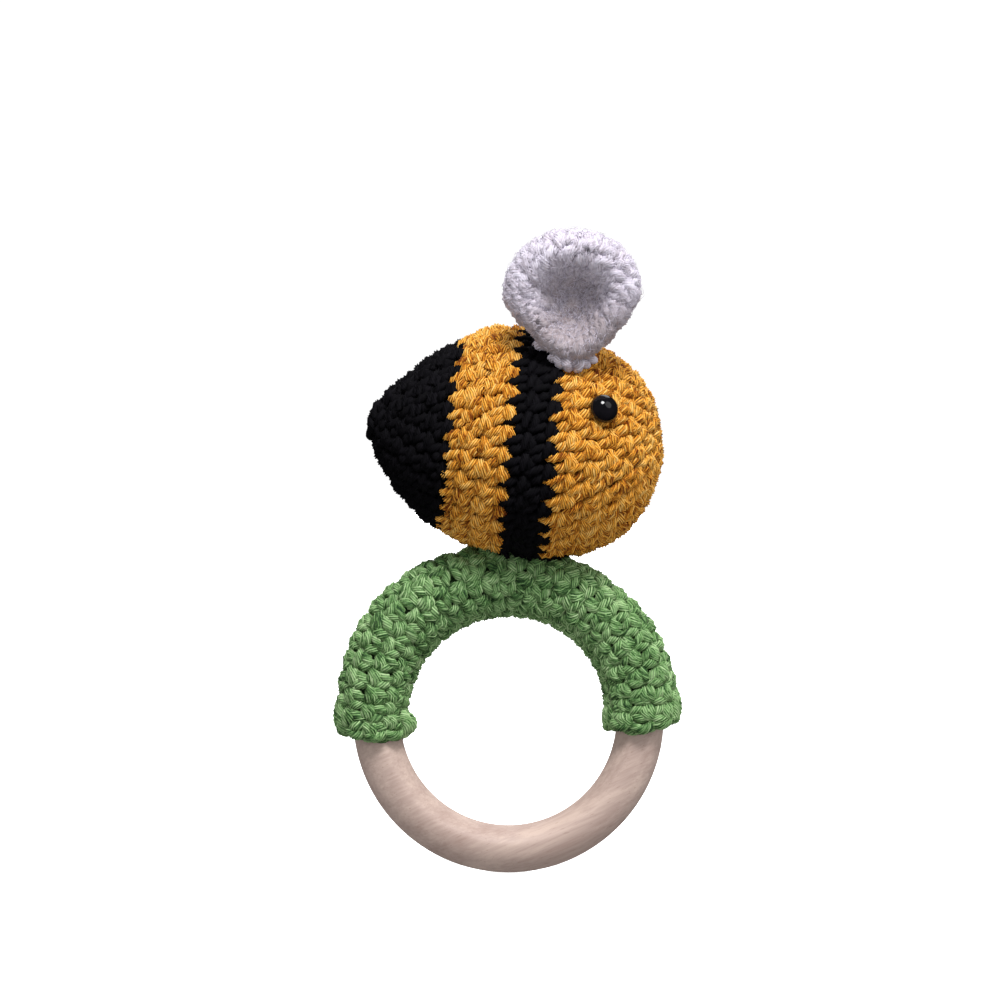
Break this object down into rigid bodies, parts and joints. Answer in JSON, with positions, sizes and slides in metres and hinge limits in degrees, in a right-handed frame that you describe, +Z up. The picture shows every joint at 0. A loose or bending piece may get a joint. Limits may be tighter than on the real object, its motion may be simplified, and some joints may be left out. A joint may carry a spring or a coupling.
{
  "type": "baby rattle",
  "caption": "Stuffed crochet bee sewn on a crochet sleeve round a wooden teething ring, with a rattle ball inside.",
  "frame": {"origin": "centre of the wooden ring's section at the ring's lowest point, where a hand grips it", "axes": "+Z up from the ring to the bee, +X towards the bee's head, +Y to the bee's left, across the ring's plane"},
  "size_m": [0.0766, 0.0512, 0.1445],
  "materials": {
    "beech_wood": "sanded bare beech",
    "green_yarn": "tight crochet, milk cotton yarn",
    "black_yarn": "tight crochet, milk cotton yarn",
    "yellow_yarn": "tight crochet, milk cotton yarn",
    "white_yarn": "crochet, softly brushed yarn",
    "black_plastic": "polished",
    "natural_plastic": "natural moulding",
    "polyester_filling": "loose fibre",
    "steel": "plain"
  },
  "bodies": {
    "ring": {"wooden_ring": "beech_wood"},
    "sleeve": {"ring_sleeve": "green_yarn", "sleeve_seam_yarn": "green_yarn", "joining_yarn": "black_yarn"},
    "bee": {"tail_cone": "black_yarn", "tail_knot": "black_yarn", "rear_stripe": "yellow_yarn", "middle_stripe": "black_yarn", "head_cap": "yellow_yarn", "near_wing_stitches": "white_yarn", "far_wing_stitches": "white_yarn", "near_eye": "black_plastic", "far_eye": "black_plastic", "near_eye_washer": "natural_plastic", "far_eye_washer": "natural_plastic", "stuffing_front": "polyester_filling", "stuffing_rear": "polyester_filling", "rattle_shell_front": "natural_plastic", "rattle_shell_rear": "natural_plastic"},
    "near_wing_cup": {"near_wing": "white_yarn"},
    "far_wing_cup": {"far_wing": "white_yarn"},
    "bead_1": {"rattle_bead_1": "steel"},
    "bead_2": {"rattle_bead_2": "steel"},
    "bead_3": {"rattle_bead_3": "steel"},
    "bead_4": {"rattle_bead_4": "steel"},
    "bead_5": {"rattle_bead_5": "steel"},
    "bead_6": {"rattle_bead_6": "steel"}
  },
  "joints": [
    {"name": "grip_ring_turn", "type": "hinge", "parent": "ring", "child": "sleeve", "pos_m": [0, 0, 0.02965], "axis": [0, 1, 0], "continuous": true},
    {"name": "bee_rock", "type": "hinge", "parent": "sleeve", "child": "bee", "pos_m": [0.003, 0, 0.0605], "axis": [1, 0, 0], "range_deg": [-12, 12], "stiffness_Nm_per_rad": 0.2, "deforming": ["joining_yarn"]},
    {"name": "near_wing_flap", "type": "hinge", "parent": "bee", "child": "near_wing_cup", "pos_m": [0.0093, -0.0186, 0.1104], "axis": [0.9333, 0, -0.3592], "range_deg": [-10, 50], "stiffness_Nm_per_rad": 0.01, "deforming": ["near_wing_stitches"]},
    {"name": "far_wing_flap", "type": "hinge", "parent": "bee", "child": "far_wing_cup", "pos_m": [0.0093, 0.0186, 0.1104], "axis": [-0.9333, 0, 0.3592], "range_deg": [-10, 50], "stiffness_Nm_per_rad": 0.01, "deforming": ["far_wing_stitches"]},
    {"name": "rattle_bead_1_slide", "type": "slide", "parent": "bee", "child": "bead_1", "axis": [0, 0, 1], "range_m": [0, 0.018]},
    {"name": "rattle_bead_2_slide", "type": "slide", "parent": "bee", "child": "bead_2", "axis": [0, 0, 1], "range_m": [0, 0.015]},
    {"name": "rattle_bead_3_slide", "type": "slide", "parent": "bee", "child": "bead_3", "axis": [0, 0, 1], "range_m": [0, 0.015]},
    {"name": "rattle_bead_4_slide", "type": "slide", "parent": "bee", "child": "bead_4", "axis": [0, 0, 1], "range_m": [0, 0.015]},
    {"name": "rattle_bead_5_slide", "type": "slide", "parent": "bee", "child": "bead_5", "axis": [0, 0, 1], "range_m": [0, 0.015]},
    {"name": "rattle_bead_6_slide", "type": "slide", "parent": "bee", "child": "bead_6", "axis": [0, 0, 1], "range_m": [0, 0.015]}
  ]
}
